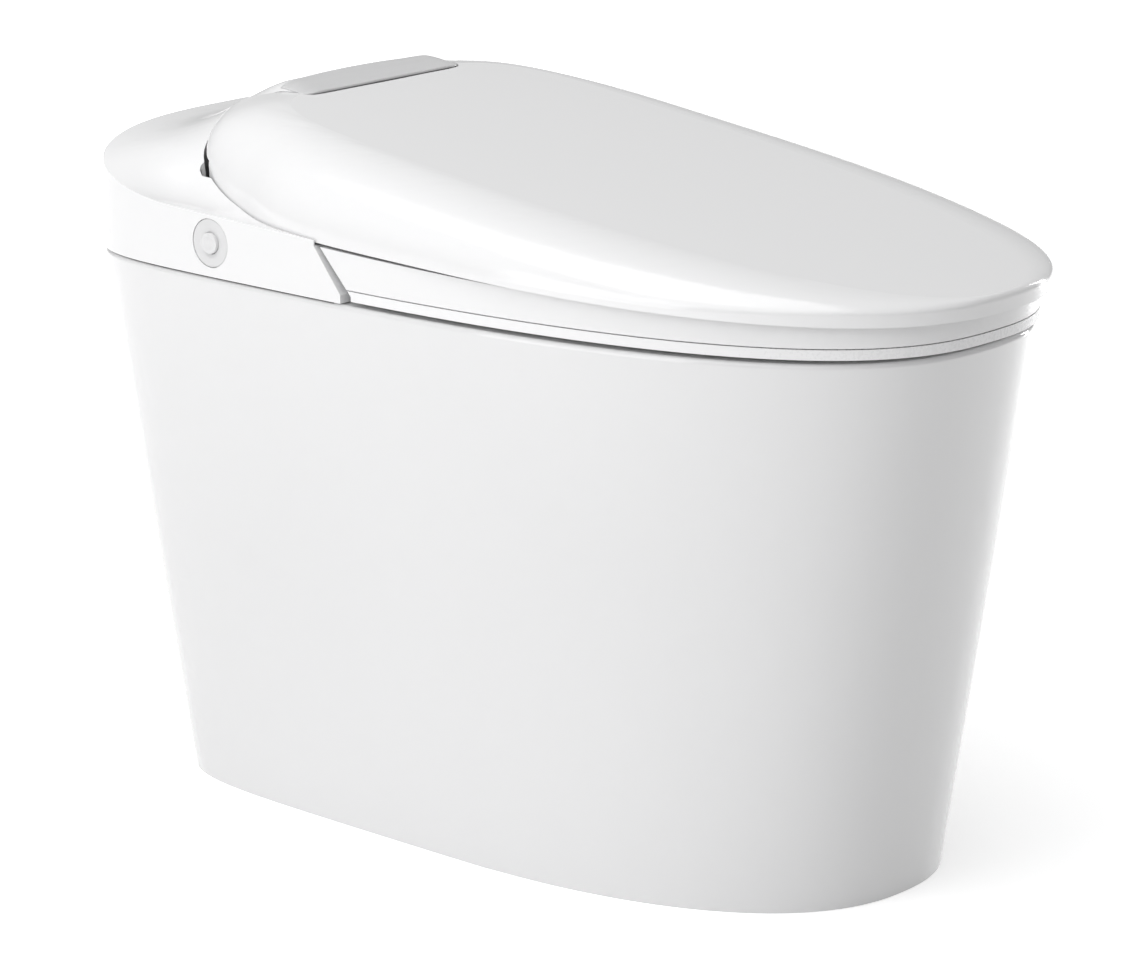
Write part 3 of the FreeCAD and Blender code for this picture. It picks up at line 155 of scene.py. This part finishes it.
class Finish:
    """A material built on one Principled shader. Its constants are that shader's inputs."""

    def __init__(self, name, **constants):
        self.material = bpy.data.materials.new(name)
        self.material.use_nodes = True
        self.tree = self.material.node_tree
        self.shader = self.tree.nodes["Principled BSDF"]
        for key, value in constants.items():
            self.shader.inputs[key.replace("_", " ").title().replace("Ior", "IOR")].default_value = value

    def node(self, kind, settings=None, inputs=None, output=0):
        """Adds a node: its settings first, then the values or links of its sockets."""
        node = self.tree.nodes.new(kind)
        for key, value in (settings or {}).items():
            if key == "stops":
                ramp = node.color_ramp
                while len(ramp.elements) < len(value):
                    ramp.elements.new(0.5)
                for element, (place, level) in zip(ramp.elements, value):
                    element.position, element.color = place, (level, level, level, 1)
            else:
                setattr(node, key, value)
        for key, value in (inputs or {}).items():
            socket = node.inputs[key]
            if isinstance(value, Signal):
                self.tree.links.new(value.socket, socket)
            else:
                socket.default_value = value
        return Signal(self, node.outputs[output])

    def maths(self, operation, a, b):
        return self.node("ShaderNodeMath", {"operation": operation}, {0: a, 1: b})

    def feed(self, socket, value):
        self.tree.links.new(value.socket, self.shader.inputs[socket])

    def place(self, stretch=(1, 1, 1)):
        """Object coordinates, stretched along each axis."""
        here = self.node("ShaderNodeTexCoord", output=3)
        if stretch == (1, 1, 1):
            return here
        return self.node("ShaderNodeMapping", {}, {"Vector": here, "Scale": stretch})

    def cloud(self, scale, detail=2.0, stretch=(1, 1, 1)):
        return self.node("ShaderNodeTexNoise", {}, {"Vector": self.place(stretch), "Scale": scale,
                                                    "Detail": detail})

    def blend(self, factor, a, b):
        """Colour between a and b."""
        mix = self.tree.nodes.new("ShaderNodeMix")
        mix.data_type = "RGBA"
        self.tree.links.new(factor.socket, mix.inputs["Factor"])
        for socket, colour in ((mix.inputs[6], a), (mix.inputs[7], b)):
            if isinstance(colour, Signal):
                self.tree.links.new(colour.socket, socket)
            else:
                socket.default_value = (*colour, 1)
        return Signal(self, mix.outputs[2])

    def bump(self, height, depth):
        """Raises the surface by up to depth, in metres, where height is 1."""
        self.feed("Normal", self.node("ShaderNodeBump", {}, {"Height": height, "Distance": depth,
                                                             "Strength": 1.0}))


def shade(colour, factor):
    return tuple(min(1.0, c * factor) for c in colour)


# ------------------------------------------------------------------ finishes
def glaze(name, colour, rough):
    """Fired glaze: even white, with a faint waviness and slightly thinner colour in patches."""
    f = Finish(name, coat_weight=0.55, coat_roughness=0.03)
    broad, fine = f.cloud(5.0), f.cloud(90.0, 3.0)
    f.feed("Base Color", f.blend(broad, shade(colour, 0.985), shade(colour, 1.012)))
    f.feed("Roughness", fine * 0.05 + rough - 0.02)
    f.bump(f.cloud(46.0, 1.0), 0.00004)
    return f.material


def polished(name, colour, rough, coat=0.25):
    """Injection-moulded plastic, polished, with a very light flow in its gloss."""
    f = Finish(name, coat_weight=coat, coat_roughness=0.08)
    flow, fine = f.cloud(3.5, 1.0, (1, 0.4, 1)), f.cloud(420.0, 2.0)
    f.feed("Base Color", f.blend(flow, shade(colour, 0.99), shade(colour, 1.01)))
    f.feed("Roughness", flow * 0.03 + fine * 0.03 + rough - 0.03)
    f.bump(fine, 0.000006)
    return f.material


def satin_shell(name, finishes):
    """The shell's plastic as it is underneath: unpolished and a little paler."""
    return polished(name, shade(finishes.shell, 1.04), finishes.shell_rough + 0.12, 0.0)


def moulded(name, colour, rough=0.5, grain=900.0):
    """Plain moulded plastic with a spark-eroded grain."""
    f = Finish(name)
    broad, grains = f.cloud(14.0), f.cloud(grain, 1.0)
    f.feed("Base Color", f.blend(broad, shade(colour, 0.93), shade(colour, 1.05)))
    f.feed("Roughness", broad * 0.08 + grains * 0.08 + rough - 0.08)
    f.bump(grains, 0.00003)
    return f.material


def satin_plate(name, colour, rough):
    """Satin silver paint with fine flakes and a straight faint grain along the plate."""
    f = Finish(name, metallic=0.25)
    grain = f.cloud(240.0, 2.0, (0.04, 1, 1))
    flake = f.node("ShaderNodeTexVoronoi", {}, {"Vector": f.place(), "Scale": 2600.0})
    f.feed("Base Color", f.blend(grain * 0.6 + flake * 0.4, shade(colour, 0.96), shade(colour, 1.05)))
    f.feed("Roughness", grain * 0.08 + rough)
    f.bump(grain, 0.000004)
    return f.material


def drawn_metal(name, colour, rough, stretch=(1, 1, 1), scale=500.0):
    """Metal with a fine drawn or turned grain."""
    f = Finish(name, metallic=1.0)
    grain, stain = f.cloud(scale, 2.0, stretch), f.cloud(20.0, 3.0)
    f.feed("Base Color", f.blend(stain, shade(colour, 0.88), shade(colour, 1.06)))
    f.feed("Roughness", grain * 0.14 + stain * 0.06 + rough - 0.1)
    f.bump(grain, 0.00001)
    return f.material


def rubber(name, colour, rough=0.6):
    """Soft rubber with a little dust."""
    f = Finish(name, specular_ior_level=0.35)
    dust, grains = f.cloud(40.0, 4.0), f.cloud(1500.0, 1.0)
    f.feed("Base Color", f.blend(dust, shade(colour, 0.9), shade(colour, 1.15)))
    f.feed("Roughness", dust * 0.2 + rough - 0.1)
    f.bump(grains, 0.00002)
    return f.material


def circuit(name, colour):
    """Solder mask with copper tracks; everything that stands on the board is black."""
    f = Finish(name)
    tracks = f.node("ShaderNodeTexBrick", {}, {"Vector": f.place((1, 1, 0)), "Scale": 60.0, "Mortar Size": 0.06,
                                               "Color1": (0, 0, 0, 1), "Color2": (0, 0, 0, 1),
                                               "Mortar": (1, 1, 1, 1)})
    patch = f.cloud(30.0, 2.0)
    f.feed("Base Color", f.blend(tracks * patch.over(0.5), colour, (0.35, 0.42, 0.12)))
    f.feed("Roughness", 0.5 - tracks * 0.15)
    f.bump(tracks, 0.00003)
    return f.material


def heater_film(name, colour):
    """Amber film with the heating wire laid in waves."""
    f = Finish(name)
    wire = f.node("ShaderNodeTexWave", {"wave_type": "BANDS", "bands_direction": "X"},
                  {"Vector": f.place(), "Scale": 22.0, "Distortion": 3.0, "Detail": 0.0}, output=1)
    line = wire ** 8.0
    f.feed("Base Color", f.blend(line, colour, (0.62, 0.45, 0.30)))
    f.feed("Roughness", 0.45 - line * 0.2)
    f.bump(line, 0.0002)
    return f.material


def carbon(name, colour):
    """Pressed carbon granules."""
    f = Finish(name)
    grains = f.node("ShaderNodeTexVoronoi", {}, {"Vector": f.place(), "Scale": 420.0})
    f.feed("Base Color", f.blend(grains, shade(colour, 0.6), shade(colour, 1.8)))
    f.feed("Roughness", grains * 0.3 + 0.6)
    f.bump(grains, 0.0004)
    return f.material


def hose_wall(name, colour):
    """Cloudy hose with its braid showing through."""
    f = Finish(name, subsurface_weight=0.2, subsurface_radius=(0.004, 0.004, 0.004))
    a = f.node("ShaderNodeTexWave", {"wave_type": "BANDS", "bands_direction": "DIAGONAL"},
               {"Vector": f.place((1, 1, -1)), "Scale": 90.0}, output=1)
    b = f.node("ShaderNodeTexWave", {"wave_type": "BANDS", "bands_direction": "DIAGONAL"},
               {"Vector": f.place((-1, 1, 1)), "Scale": 90.0}, output=1)
    braid = (a * b) ** 2.0
    f.feed("Base Color", f.blend(braid, shade(colour, 0.85), shade(colour, 1.15)))
    f.feed("Roughness", 0.4 - braid * 0.1)
    f.bump(braid, 0.0002)
    return f.material


def wear(node_names, material):
    """Gives CAD nodes their finish."""
    for name in node_names:
        for slot in NODES[name].material_slots:
            slot.material = material


def in_slot(wanted):
    """The CAD nodes of one material slot."""
    return [node for node, slot in SLOT_OF.items() if slot == wanted]


# ------------------------------------------------------------------ modelling
def only(piece):
    """Makes one piece selected and active, and nothing else."""
    bpy.ops.object.select_all(action="DESELECT")
    piece.select_set(True)
    bpy.context.view_layer.objects.active = piece


def choose_open_edges(piece, x):
    """Leaves selected, in edit mode, only the open edges that lie at x."""
    bpy.ops.mesh.select_all(action="DESELECT")
    for edge in bmesh.from_edit_mesh(piece.data).edges:
        if edge.is_boundary and all(abs(v.co.x - x) < 10 * JOIN for v in edge.verts):
            edge.select_set(True)
    bmesh.update_edit_mesh(piece.data)


def finish_piece(piece, name, material, body):
    """Names a modelled piece, smooths it, gives it its finish and lets it ride on its body."""
    piece.name = piece.data.name = name
    only(piece)
    bpy.ops.object.shade_smooth_by_angle(angle=math.radians(35))
    piece.data.materials.clear()
    piece.data.materials.append(material)
    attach(piece, body)


def turned(centre, profile):
    """A piece turned about the line through centre along X, from (x, radius) points.

    A profile that ends where it starts makes a ring, and any other gets both its ends closed.
    """
    x, radius = profile[0]
    bpy.ops.object.select_all(action="DESELECT")
    bpy.ops.mesh.primitive_circle_add(vertices=96, radius=radius, rotation=(0, math.pi / 2, 0),
                                      location=(x, centre.y, centre.z))
    piece = bpy.context.object
    bpy.ops.object.transform_apply(location=True, rotation=True, scale=True)
    bpy.ops.object.mode_set(mode="EDIT")
    bpy.ops.mesh.select_mode(type="EDGE")
    bpy.ops.mesh.select_all(action="SELECT")
    for (x, radius), (next_x, next_radius) in zip(profile, profile[1:]):
        bpy.ops.mesh.extrude_edges_move(TRANSFORM_OT_translate={"value": (next_x - x, 0, 0)})
        bpy.ops.transform.resize(value=(1, next_radius / radius, next_radius / radius),
                                 center_override=(next_x, centre.y, centre.z))
    if profile[0] != profile[-1]:
        bpy.ops.mesh.edge_face_add()
        choose_open_edges(piece, profile[0][0])
        bpy.ops.mesh.edge_face_add()
    bpy.ops.mesh.select_all(action="SELECT")
    bpy.ops.mesh.remove_doubles(threshold=JOIN)
    bpy.ops.mesh.normals_make_consistent(inside=False)
    bpy.ops.object.mode_set(mode="OBJECT")
    return piece


def merged_copy(node):
    """A copy of a CAD node with its loose triangles joined."""
    piece = NODES[node].copy()
    piece.data = NODES[node].data.copy()
    bpy.context.scene.collection.objects.link(piece)
    only(piece)
    bpy.ops.object.mode_set(mode="EDIT")
    bpy.ops.mesh.select_all(action="SELECT")
    bpy.ops.mesh.remove_doubles(threshold=JOIN)
    bpy.ops.mesh.customdata_custom_splitnormals_clear()
    bpy.ops.mesh.dissolve_limited(angle_limit=FLAT)
    bpy.ops.object.mode_set(mode="OBJECT")
    return piece


def bevelled_copy(node, width):
    """A merged copy of a CAD node with its sharp edges bevelled."""
    piece = merged_copy(node)
    bevel = piece.modifiers.new("edge", "BEVEL")
    bevel.width, bevel.segments = width, 3
    bevel.limit_method, bevel.angle_limit = "ANGLE", math.radians(40)
    bevel.use_clamp_overlap = True
    bpy.ops.object.modifier_apply(modifier=bevel.name)
    return piece


# ------------------------------------------------------------------ pieces
class TOILET_OT_ceramic(bpy.types.Operator):
    """Glazes the ceramic pan"""
    bl_idname = "toilet.ceramic"
    bl_label = "Glaze the pan"

    def execute(self, context):
        s = context.scene.toilet_finishes
        wear(["ceramic_pan"], glaze("fired_glaze", s.china, s.glaze_rough))
        return {"FINISHED"}


class TOILET_OT_shells(bpy.types.Operator):
    """Finishes lid, seat and rear housing in polished plastic"""
    bl_idname = "toilet.shells"
    bl_label = "Finish the shells"

    def execute(self, context):
        s = context.scene.toilet_finishes
        wear(["lid_shell", "seat_top", "rear_housing"], polished("polished_shell", s.shell, s.shell_rough))
        wear(["seat_base"], satin_shell("satin_base", s))
        return {"FINISHED"}


class TOILET_OT_liner(bpy.types.Operator):
    """Draws the lid's inner panel in from its edge, so that the gap over the seat opens into a hollow"""
    bl_idname = "toilet.liner"
    bl_label = "Make the lid's inner panel"

    def execute(self, context):
        finishes, sizes = context.scene.toilet_finishes, context.scene.toilet_sizes
        liner = merged_copy("lid_liner")
        low, high = (Vector(corner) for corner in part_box("lid_liner"))
        half, middle = high.x, Vector((0, (low.y + high.y) / 2, 0))
        rim, ramp = 0.78, 0.2          # shares of the reach: where drawing in starts, and grows to its whole
        bpy.ops.object.mode_set(mode="EDIT")
        mesh = bmesh.from_edit_mesh(liner.data)
        for vert in mesh.verts:
            out = Vector((vert.co.x, vert.co.y - middle.y, 0))
            share = math.hypot(out.x / half, out.y / (middle.y - low.y))
            vert.co -= out.normalized() * sizes.liner_inset * min(1.0, max(0.0, (share - rim) / ramp))
        bmesh.update_edit_mesh(liner.data)
        bpy.ops.object.mode_set(mode="OBJECT")
        finish_piece(liner, "lid_inner_panel", satin_shell("satin_underside", finishes), "lid")
        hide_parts("lid_liner")
        return {"FINISHED"}


class TOILET_OT_plate(bpy.types.Operator):
    """Makes the satin plate let into the tongue behind the lid"""
    bl_idname = "toilet.plate"
    bl_label = "Make the plate"

    def execute(self, context):
        finishes, sizes = context.scene.toilet_finishes, context.scene.toilet_sizes
        plate = bevelled_copy("accent_panel", sizes.plate_bevel)
        finish_piece(plate, "plate_facing", satin_plate("satin_plate", finishes.plate, 0.36), "pan")
        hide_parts("accent_panel")
        return {"FINISHED"}


class TOILET_OT_dial(bpy.types.Operator):
    """Turns the side dial and its flush button"""
    bl_idname = "toilet.dial"
    bl_label = "Make the dial"

    def execute(self, context):
        finishes, sizes = context.scene.toilet_finishes, context.scene.toilet_sizes
        low, high = (Vector(corner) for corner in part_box("dial_ring"))
        centre, face, back, rim = (low + high) / 2, low.x, high.x, (high.y - low.y) / 2
        button_low, button_high = (Vector(corner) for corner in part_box("flush_button"))
        button_r, tip = (button_high.y - button_low.y) / 2, button_low.x
        clearance, wall, flange = 0.0004, 0.0012, face + 0.003
        soften, crest = 0.0003, 0.00005
        bore, chamfer, dish = button_r + clearance, sizes.dial_chamfer, sizes.dial_dish
        outline = [(back, bore), (face + dish + 0.0002, bore), (face + dish, bore + soften),
                   (face + dish * 0.5, bore + (rim - bore) * 0.4), (face, rim - chamfer * 2.2),
                   (face + crest, rim - chamfer), (face + chamfer, rim), (flange, rim), (flange, bore + wall),
                   (back, bore + wall), (back, bore)]
        dial = turned(centre, outline)
        finish_piece(dial, "dial_face", polished("dial_plastic", finishes.dial, 0.30, 0.1), "dial")
        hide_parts("dial_ring")

        curve, stem_r, neck, groove = sizes.button_round, 0.004, face + 0.007, 0.0002
        seat = tip + groove
        cap = [(button_high.x, stem_r), (neck, stem_r), (neck, button_r), (tip + curve, button_r),
               (tip + curve * 0.3, button_r - curve * 0.3), (tip, button_r - curve), (seat, button_r * 0.62),
               (seat + groove, button_r * 0.56), (seat + groove, button_r * 0.46), (seat, button_r * 0.40),
               (seat, button_r * 0.1)]
        button = turned(centre, cap)
        finish_piece(button, "button_cap", polished("button_plastic", shade(finishes.dial, 1.05), 0.26, 0.1),
                     "button")
        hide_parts("flush_button")
        return {"FINISHED"}


class TOILET_OT_fastenings(bpy.types.Operator):
    """Finishes pins, dampers, bolts, pads and seals"""
    bl_idname = "toilet.fastenings"
    bl_label = "Finish the fastenings"

    def execute(self, context):
        wear(in_slot("pin_steel"), drawn_metal("ground_steel", (0.62, 0.62, 0.63), 0.3))
        wear(in_slot("damper_black"), moulded("damper_body", (0.03, 0.03, 0.032), 0.42))
        wear(in_slot("rubber_grey"), rubber("soft_pad", (0.46, 0.46, 0.47), 0.55))
        wear(in_slot("rubber_black"), rubber("seal_rubber", (0.02, 0.02, 0.02)))
        wear(in_slot("base_plastic"), moulded("base_nylon", (0.50, 0.50, 0.50), 0.5))
        return {"FINISHED"}


class TOILET_OT_wash(bpy.types.Operator):
    """Finishes the wands, their gears and their motors"""
    bl_idname = "toilet.wash"
    bl_label = "Finish the wash parts"

    def execute(self, context):
        wear(in_slot("nozzle_white"), polished("wand_plastic", (0.82, 0.82, 0.81), 0.22))
        wear(in_slot("gear_plastic"), moulded("gear_acetal", (0.78, 0.74, 0.62), 0.4))
        wear(in_slot("motor_steel"), drawn_metal("motor_can", (0.52, 0.52, 0.53), 0.38, (0.1, 1, 1)))
        return {"FINISHED"}


class TOILET_OT_air(bpy.types.Operator):
    """Finishes ducts, fans, filter and dryer"""
    bl_idname = "toilet.air"
    bl_label = "Finish the air parts"

    def execute(self, context):
        wear(in_slot("duct_plastic"), moulded("duct_plastic", (0.26, 0.27, 0.28), 0.5))
        wear(in_slot("fan_plastic"), moulded("fan_plastic", (0.016, 0.016, 0.017), 0.45))
        wear(in_slot("filter_black"), carbon("carbon_block", (0.02, 0.02, 0.02)))
        wear(in_slot("coil_alloy"), drawn_metal("fin_alloy", (0.70, 0.71, 0.72), 0.35))
        wear(in_slot("heater_film"), heater_film("heating_film", (0.30, 0.10, 0.02)))
        return {"FINISHED"}


class TOILET_OT_water(bpy.types.Operator):
    """Finishes inlet, valves, pump, heater and hoses"""
    bl_idname = "toilet.water"
    bl_label = "Finish the water parts"

    def execute(self, context):
        wear(in_slot("inlet_brass"), drawn_metal("inlet_brass", (0.62, 0.47, 0.22), 0.3))
        wear(in_slot("filter_mesh"), drawn_metal("filter_mesh", (0.5, 0.5, 0.5), 0.45, scale=2500.0))
        wear(in_slot("pump_grey"), moulded("pump_body", (0.075, 0.08, 0.088), 0.48, 1200.0))
        wear(in_slot("heater_tank"), drawn_metal("heater_tank", (0.58, 0.58, 0.59), 0.32, (1, 1, 0.05)))
        wear(in_slot("hose_clear"), hose_wall("braided_hose", (0.46, 0.49, 0.52)))
        return {"FINISHED"}


class TOILET_OT_electrics(bpy.types.Operator):
    """Finishes boards, boxes and the power supply"""
    bl_idname = "toilet.electrics"
    bl_label = "Finish the electrics"

    def execute(self, context):
        wear(in_slot("board_green"), circuit("circuit_board", (0.01, 0.07, 0.025)))
        wear(in_slot("case_black"), moulded("black_case", (0.02, 0.02, 0.022), 0.45))
        wear(in_slot("supply_alloy"), drawn_metal("folded_alloy", (0.62, 0.63, 0.64), 0.36, (1, 0.06, 1)))
        return {"FINISHED"}


# ------------------------------------------------------------------ stage
LAMPS = (("key", (-1.6, -0.6, 2.2), 2.0, 2.0), ("top", (-0.4, 0.3, 2.6), 2.0, 2.0),
         ("side", (-2.6, 0.4, 0.9), 1.6, 1.8), ("strip", (2.2, -0.5, 0.6), 0.2, 1.6))
LAMPS_AIM = Vector((0, -0.05, 0.3))


def lamp(name, power, place, width, height):
    """A rectangular lamp that faces the toilet."""
    data = bpy.data.lights.new(name, "AREA")
    data.shape, data.size, data.size_y, data.energy = "RECTANGLE", width, height, power
    piece = bpy.data.objects.new(name, data)
    bpy.context.scene.collection.objects.link(piece)
    piece.location = place
    piece.rotation_euler = (LAMPS_AIM - Vector(place)).to_track_quat("-Z", "Y").to_euler()


def seen_directly(finish):
    """1 on a camera, glossy or transmission ray, else 0."""
    def ray(output):
        return finish.node("ShaderNodeLightPath", output=output)
    glossy_or_through = finish.maths("MAXIMUM", ray("Is Glossy Ray"), ray("Is Transmission Ray"))
    return finish.maths("MAXIMUM", ray("Is Camera Ray"), glossy_or_through)


class TOILET_OT_stage(bpy.types.Operator):
    """Makes the floor, the soft studio light and the camera"""
    bl_idname = "toilet.stage"
    bl_label = "Make the stage"

    def execute(self, context):
        s, scene = context.scene.toilet_stage, context.scene
        self.make_camera(s, scene)
        self.make_floor(s)
        self.make_world(s, scene)
        for name, place, width, height in LAMPS:
            lamp(name + "_lamp", getattr(s, name), place, width, height)
        scene.view_settings.view_transform = "Standard"
        return {"FINISHED"}

    def make_camera(self, s, scene):
        level = math.cos(s.elevation)
        back = Vector((math.sin(s.azimuth) * level, -math.cos(s.azimuth) * level, math.sin(s.elevation)))
        data = bpy.data.cameras.new("camera")
        data.lens, data.sensor_width, data.sensor_fit = s.lens, 36.0, "HORIZONTAL"
        data.clip_start, data.clip_end = 0.05, 100.0
        camera = bpy.data.objects.new("camera", data)
        scene.collection.objects.link(camera)
        camera.location = Vector(s.target) + back * s.distance
        camera.rotation_euler = (-back).to_track_quat("-Z", "Y").to_euler()
        scene.camera = camera

    def make_floor(self, s):
        """A wide pale floor that takes the shadow near by and is as white as the backdrop far off."""
        bpy.ops.object.select_all(action="DESELECT")
        bpy.ops.mesh.primitive_circle_add(vertices=96, radius=14.0, fill_type="NGON", location=(0, 0, 0))
        floor = bpy.context.object
        floor.name = floor.data.name = "floor"
        bpy.ops.object.transform_apply(location=True, rotation=True, scale=True)
        stone = Finish("pale_floor", roughness=0.7, specular_ior_level=0.2, emission_strength=1.0)
        stone.feed("Base Color", stone.blend(stone.cloud(1.5), (0.86, 0.86, 0.86), (0.88, 0.88, 0.88)))
        away = stone.node("ShaderNodeVectorMath", {"operation": "LENGTH"}, {0: stone.place()}, output=1)
        glow = stone.node("ShaderNodeMapRange", {"interpolation_type": "SMOOTHSTEP"},
                          {"Value": away, "From Min": s.near, "From Max": s.far,
                           "To Min": s.floor_glow, "To Max": 1.0})
        stone.feed("Emission Color", stone.blend(seen_directly(stone) * glow, (0, 0, 0), (1, 1, 1)))
        floor.data.materials.append(stone.material)

    def make_world(self, s, scene):
        """Soft light from all round, with white where the camera sees past the toilet."""
        world = bpy.data.worlds.new("studio")
        scene.world = world
        world.use_nodes = True
        tree = world.node_tree
        sky, shown = tree.nodes["Background"], tree.nodes.new("ShaderNodeBackground")
        sky.inputs["Color"].default_value = (s.sky, s.sky, s.sky, 1)
        shown.inputs["Color"].default_value = (1, 1, 1, 1)
        mix = tree.nodes.new("ShaderNodeMixShader")
        path = tree.nodes.new("ShaderNodeLightPath")
        tree.links.new(path.outputs["Is Camera Ray"], mix.inputs[0])
        tree.links.new(sky.outputs[0], mix.inputs[1])
        tree.links.new(shown.outputs[0], mix.inputs[2])
        tree.links.new(mix.outputs[0], tree.nodes["World Output"].inputs["Surface"])


class TOILET_PT_panel(bpy.types.Panel):
    bl_label = "Toilet"
    bl_idname = "TOILET_PT_panel"
    bl_space_type = "VIEW_3D"
    bl_region_type = "UI"
    bl_category = "Toilet"

    def draw(self, context):
        for operator in OPERATORS:
            self.layout.operator(operator.bl_idname)
        scene = context.scene
        for group in (scene.toilet_finishes, scene.toilet_sizes, scene.toilet_stage):
            for name in group.bl_rna.properties.keys():
                if name not in ("rna_type", "name"):
                    self.layout.prop(group, name)


OPERATORS = (TOILET_OT_ceramic, TOILET_OT_shells, TOILET_OT_liner, TOILET_OT_plate, TOILET_OT_dial,
             TOILET_OT_fastenings, TOILET_OT_wash, TOILET_OT_air, TOILET_OT_water, TOILET_OT_electrics,
             TOILET_OT_stage)
CLASSES = (ToiletFinishes, ToiletSizes, ToiletStage, *OPERATORS, TOILET_PT_panel)


def register():
    for item in CLASSES:
        bpy.utils.register_class(item)
    bpy.types.Scene.toilet_finishes = PointerProperty(type=ToiletFinishes)
    bpy.types.Scene.toilet_sizes = PointerProperty(type=ToiletSizes)
    bpy.types.Scene.toilet_stage = PointerProperty(type=ToiletStage)


def unregister():
    del bpy.types.Scene.toilet_stage
    del bpy.types.Scene.toilet_sizes
    del bpy.types.Scene.toilet_finishes
    for item in reversed(CLASSES):
        bpy.utils.unregister_class(item)


def main():
    register()
    for operator in OPERATORS:
        group, name = operator.bl_idname.split(".")
        getattr(getattr(bpy.ops, group), name)()


if __name__ == "__main__":
    main()
